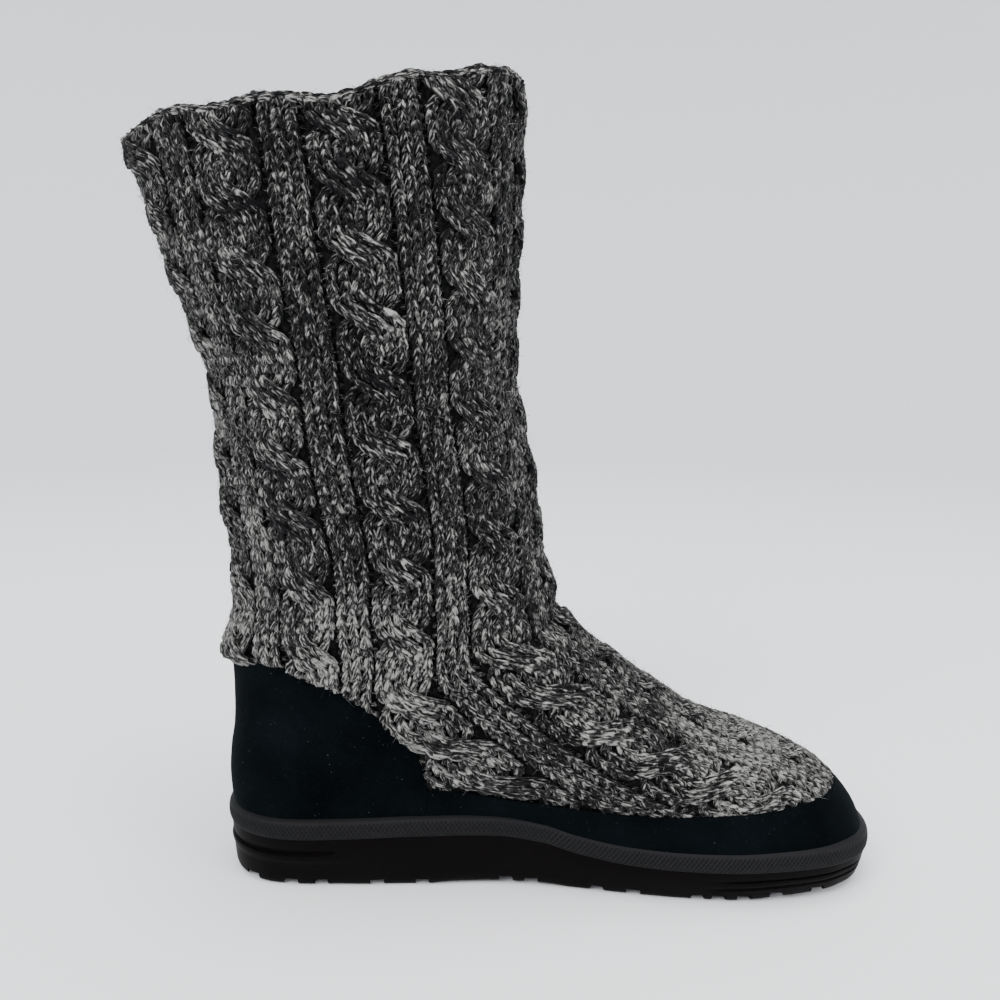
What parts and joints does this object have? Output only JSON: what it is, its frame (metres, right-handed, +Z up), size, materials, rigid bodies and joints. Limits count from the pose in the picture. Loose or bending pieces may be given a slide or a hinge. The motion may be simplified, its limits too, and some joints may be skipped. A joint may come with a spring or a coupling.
{
  "type": "mukluk boot",
  "caption": "Tall left mukluk boot with a hollow cable-knit upper, suede heel counter and low suede rand, on a lugged moulded sole with a textured foxing band.",
  "frame": {"origin": "on the floor plane at the centre of the heel's tread, under the mount heel_rest", "axes": "+X from heel to toe, +Y to the outer side of the left foot, +Z up the shaft"},
  "size_m": [0.3075, 0.115, 0.3237],
  "materials": {
    "knit": "marled charcoal and light grey wool yarn, fuzzy",
    "suede": "near-black suede, fine nap",
    "band": "dark grey moulded rubber, diamond texture",
    "sole": "very dark brown moulded rubber, satin",
    "footbed": "plain fleece footbed"
  },
  "bodies": {
    "root": {"upper": "knit", "heel_counter": "suede", "toe_rand": "suede", "foxing_band": "band", "outsole": "sole", "insole": "footbed"}
  },
  "joints": []
}
